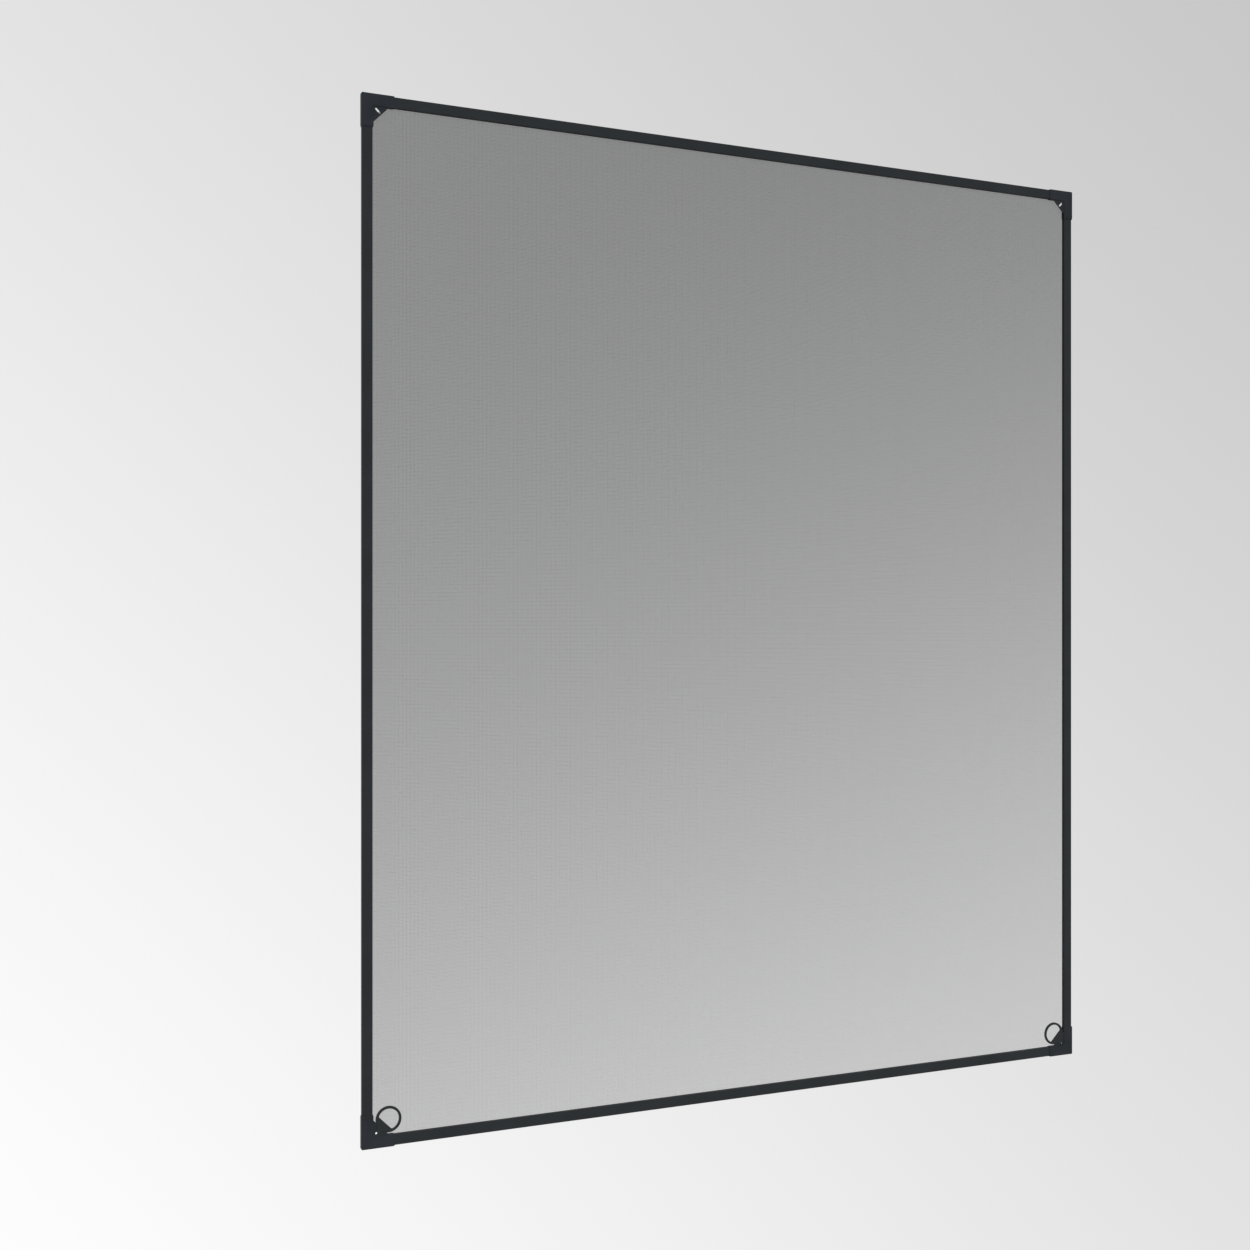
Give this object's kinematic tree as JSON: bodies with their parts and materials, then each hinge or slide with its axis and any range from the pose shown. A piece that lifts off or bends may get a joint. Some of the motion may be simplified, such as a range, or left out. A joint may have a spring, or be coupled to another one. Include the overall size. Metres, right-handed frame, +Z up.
{
  "type": "magnetic window insect screen",
  "caption": "Rectangular insect screen with slim anthracite rails, raised corner pieces with slotted sloping webs, stretched grey fly mesh and clip-on pull rings below.",
  "frame": {"origin": "centre of the bounding box", "axes": "+X to the right seen from the room, +Y towards the window (the magnet side), +Z up"},
  "size_m": [1, 0.0068, 1.2],
  "materials": {
    "powder_coated_aluminium": "fine matt anthracite powder coat on extruded aluminium",
    "corner_plastic": "moulded anthracite plastic with a fine spark-eroded grain",
    "ring_plastic": "moulded anthracite plastic, satin",
    "magnet_rubber": "ferrite-filled flexible magnet strip, matt dark brown-black",
    "spline_rubber": "extruded black rubber, matt",
    "fly_cloth": "plain-woven coated glass yarn, grey, see-through"
  },
  "bodies": {
    "root": {"rail_top": "powder_coated_aluminium", "rail_bottom": "powder_coated_aluminium", "rail_left": "powder_coated_aluminium", "rail_right": "powder_coated_aluminium", "magnet_top": "magnet_rubber", "magnet_bottom": "magnet_rubber", "magnet_left": "magnet_rubber", "magnet_right": "magnet_rubber", "spline_top": "spline_rubber", "spline_bottom": "spline_rubber", "spline_left": "spline_rubber", "spline_right": "spline_rubber", "corner_top_left": "corner_plastic", "corner_top_right": "corner_plastic", "corner_bottom_left": "corner_plastic", "corner_bottom_right": "corner_plastic", "pull_ring_left": "ring_plastic", "pull_ring_right": "ring_plastic", "screen_cloth": "fly_cloth"}
  },
  "joints": []
}
